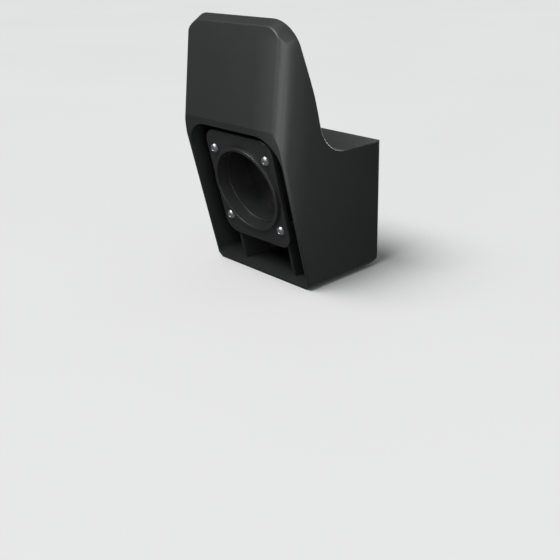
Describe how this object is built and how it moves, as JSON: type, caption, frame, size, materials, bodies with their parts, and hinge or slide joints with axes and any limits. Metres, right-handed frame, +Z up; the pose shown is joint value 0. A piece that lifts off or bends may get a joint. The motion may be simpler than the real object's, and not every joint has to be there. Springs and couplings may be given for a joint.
{
  "type": "charging connector holder",
  "caption": "Wall holder for an electric car's charging plug: a hollow moulded body with a leaning shield, a horn and saddle for the coiled lead, and a flanged socket that parks the plug.",
  "frame": {"origin": "middle of the four fixing holes, on the back face that lies against the wall", "axes": "+X across the flanks, +Y into the wall, +Z up towards the tip of the horn"},
  "size_m": [0.114, 0.1127, 0.206],
  "materials": {
    "shell": "fine moulded grain, charcoal",
    "socket": "smooth satin, black",
    "screw": "bright stainless"
  },
  "bodies": {
    "root": {"holder_body": "shell", "socket_insert": "socket", "socket_screws": "screw"}
  },
  "joints": []
}
